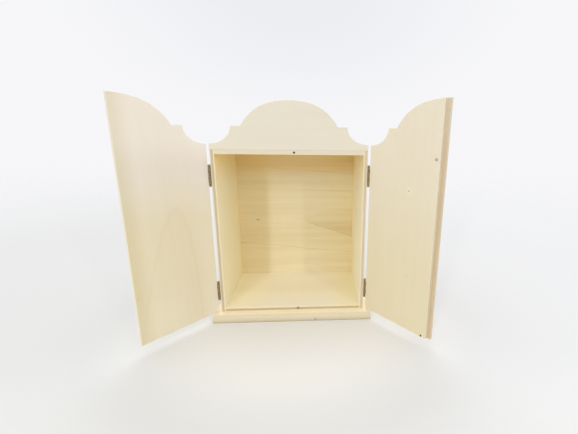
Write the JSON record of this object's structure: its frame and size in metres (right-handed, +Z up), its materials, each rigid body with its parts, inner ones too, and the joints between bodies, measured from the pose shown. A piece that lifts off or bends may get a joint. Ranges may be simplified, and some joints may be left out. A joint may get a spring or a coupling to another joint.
{
  "type": "miniature wardrobe",
  "caption": "Small plywood cabinet on a moulded base plate, with an arched crest board and matching hinged doors that stand open.",
  "frame": {"origin": "centre of the base plate's underside", "axes": "+Z up, +Y towards the back panel, +X towards the right-hand door's hinges as seen from the front"},
  "size_m": [0.2562, 0.1438, 0.217],
  "materials": {
    "box_plywood": "bare sanded plywood, warm",
    "shaped_plywood": "bare sanded plywood, pale",
    "base_wood": "bare sanded solid wood",
    "strip_wood": "bare sanded solid wood",
    "hinge_bronze": "dark bronzed",
    "nail_steel": "dark bronzed",
    "strike_steel": "dull",
    "magnet": "dark, satin"
  },
  "bodies": {
    "cabinet": {"base_plate": "base_wood", "side_panel_left": "box_plywood", "side_panel_right": "box_plywood", "top_panel": "box_plywood", "floor_panel": "box_plywood", "back_panel": "box_plywood", "crest_board": "shaped_plywood", "hinge_left_upper_frame_leaf": "hinge_bronze", "hinge_left_upper_pin": "hinge_bronze", "hinge_left_lower_frame_leaf": "hinge_bronze", "hinge_left_lower_pin": "hinge_bronze", "hinge_right_upper_frame_leaf": "hinge_bronze", "hinge_right_upper_pin": "hinge_bronze", "hinge_right_lower_frame_leaf": "hinge_bronze", "hinge_right_lower_pin": "hinge_bronze", "frame_leaf_nails": "nail_steel", "magnet_top": "magnet", "strike_pin_bottom": "strike_steel"},
    "door_left": {"door_left": "shaped_plywood", "hinge_left_upper_door_leaf": "hinge_bronze", "hinge_left_lower_door_leaf": "hinge_bronze", "door_leaf_nails_left": "nail_steel"},
    "door_right": {"door_right": "shaped_plywood", "astragal_strip": "strip_wood", "hinge_right_upper_door_leaf": "hinge_bronze", "hinge_right_lower_door_leaf": "hinge_bronze", "door_leaf_nails_right": "nail_steel", "strike_pin_top": "strike_steel", "magnet_bottom": "magnet"}
  },
  "joints": [
    {"name": "left_door_swing", "type": "hinge", "parent": "cabinet", "child": "door_left", "pos_m": [-0.074, -0.0395, 0.09], "axis": [0, 0, -1], "range_deg": [-133.65, 54.1]},
    {"name": "right_door_swing", "type": "hinge", "parent": "cabinet", "child": "door_right", "pos_m": [0.074, -0.0395, 0.09], "axis": [0, 0, 1], "range_deg": [-129.6, 57.9]}
  ]
}
